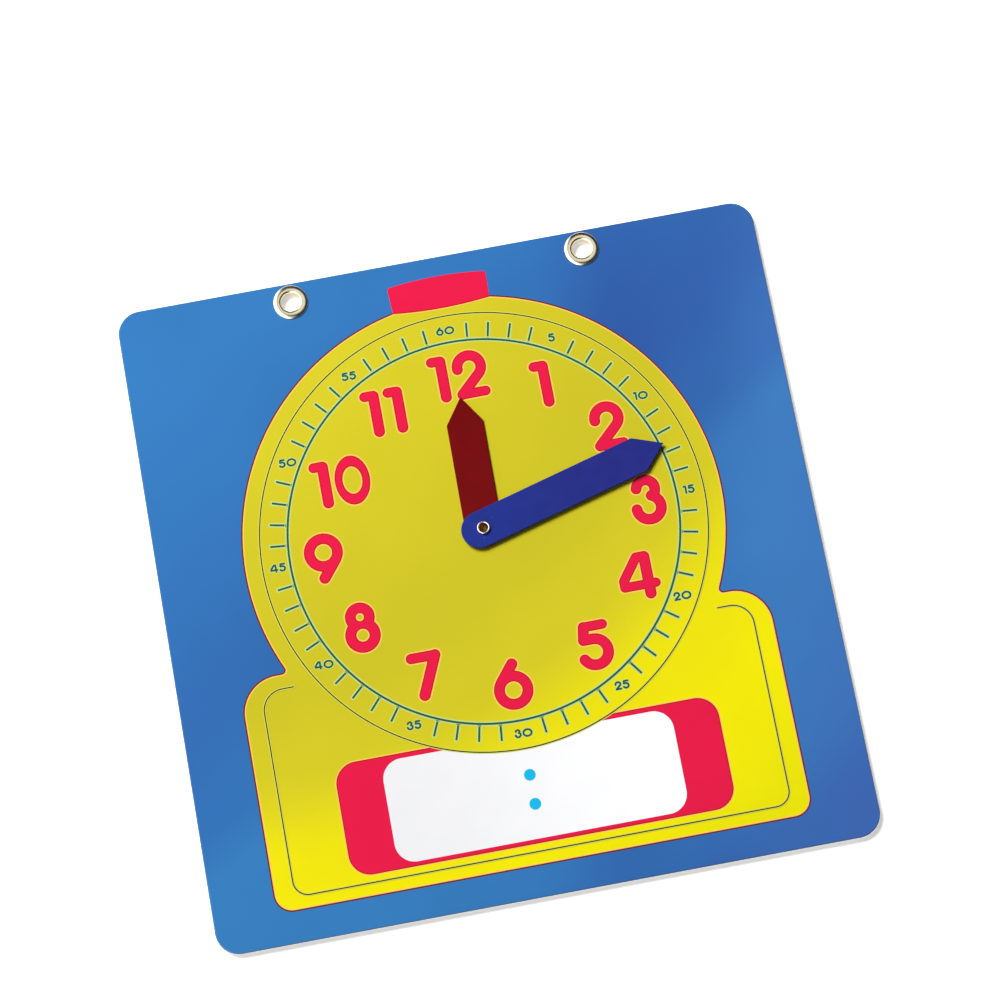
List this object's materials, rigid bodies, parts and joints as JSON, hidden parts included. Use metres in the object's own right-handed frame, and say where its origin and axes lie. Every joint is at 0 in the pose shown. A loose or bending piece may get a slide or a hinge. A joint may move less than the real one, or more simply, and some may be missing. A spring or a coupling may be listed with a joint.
{
  "type": "teaching clock",
  "caption": "Flat square demonstration clock card with a printed dial and digital panel, hanging grommets at the top, and hour and minute hands turning on a rivet.",
  "frame": {"origin": "under the middle of the square card, on the surface that the clock lies on, which the rolled backs of the grommets touch", "axes": "+Z out of the printed face, +Y towards the edge with the grommets (12 on the dial), +X towards 3 on the dial"},
  "size_m": [0.3048, 0.3048, 0.0072],
  "materials": {
    "card_core": "matt grey board",
    "front_print": "printed sheet under glossy wipe-off film",
    "back_paper": "satin laminated white paper",
    "grommet_metal": "bright nickelled brass",
    "rivet_metal": "bright plated steel",
    "hour_hand_plastic": "glossy moulded plastic, deep red",
    "minute_hand_plastic": "glossy moulded plastic, deep blue"
  },
  "bodies": {
    "board": {"core_board": "card_core", "front_print_sheet": "front_print", "back_sheet": "back_paper", "grommet_left": "grommet_metal", "grommet_right": "grommet_metal", "grommet_washer_left": "grommet_metal", "grommet_washer_right": "grommet_metal", "centre_rivet": "rivet_metal"},
    "hour_hand": {"hour_hand": "hour_hand_plastic"},
    "minute_hand": {"minute_hand": "minute_hand_plastic"}
  },
  "joints": [
    {"name": "hour_hand_turn", "type": "hinge", "parent": "board", "child": "hour_hand", "pos_m": [0, 0.0189, 0.00413], "axis": [0, 0, -1], "continuous": true},
    {"name": "minute_hand_turn", "type": "hinge", "parent": "board", "child": "minute_hand", "pos_m": [0, 0.0189, 0.00543], "axis": [0, 0, -1], "continuous": true}
  ]
}
